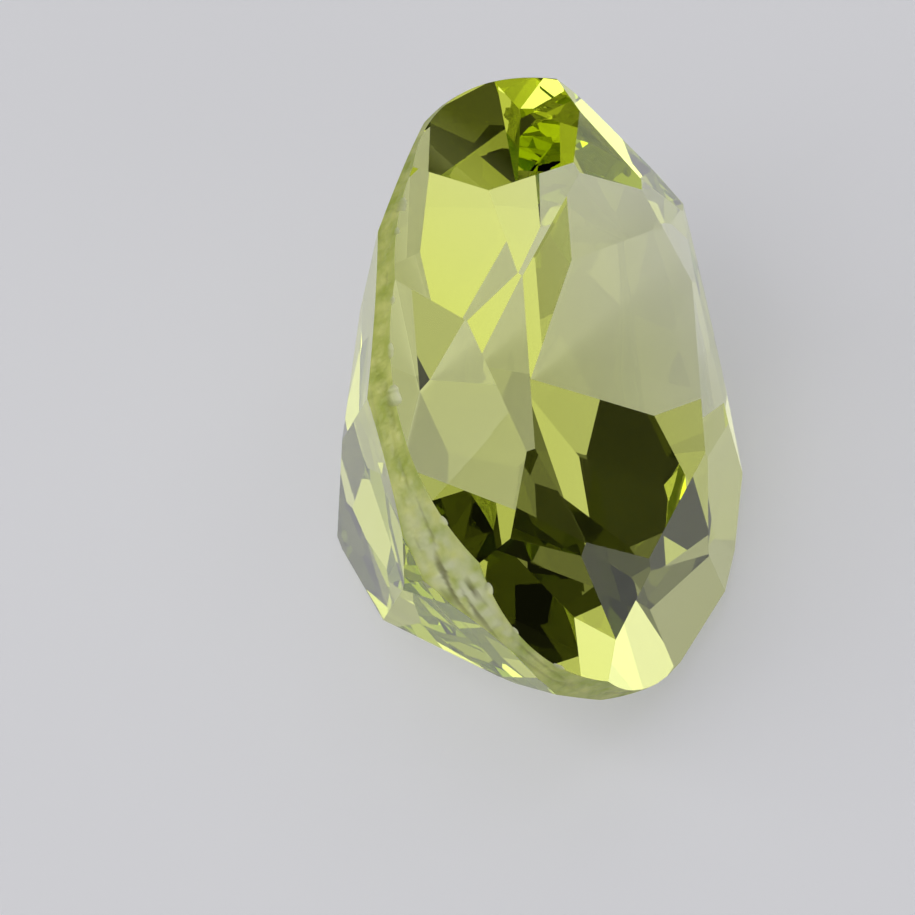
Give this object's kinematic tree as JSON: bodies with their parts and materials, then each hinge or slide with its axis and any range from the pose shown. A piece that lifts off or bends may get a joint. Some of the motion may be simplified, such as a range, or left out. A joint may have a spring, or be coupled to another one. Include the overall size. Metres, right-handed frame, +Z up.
{
  "type": "oval faceted peridot gemstone",
  "caption": "Cut and polished oval peridot with a flat table, faceted crown, frosted girdle and deep keeled pavilion, lying on one pavilion facet.",
  "frame": {"origin": "centre of the footprint's box, on the surface that the stone lies on", "axes": "+Y along the stone's long axis, +Z up with the stone lying on its long pavilion facet at +X, so that the table faces up and towards +X"},
  "size_m": [0.0038, 0.007, 0.0037],
  "materials": {
    "peridot": "clear yellow-green crystal, polished facets, frosted ground girdle"
  },
  "bodies": {
    "root": {"peridot": "peridot"}
  },
  "joints": []
}
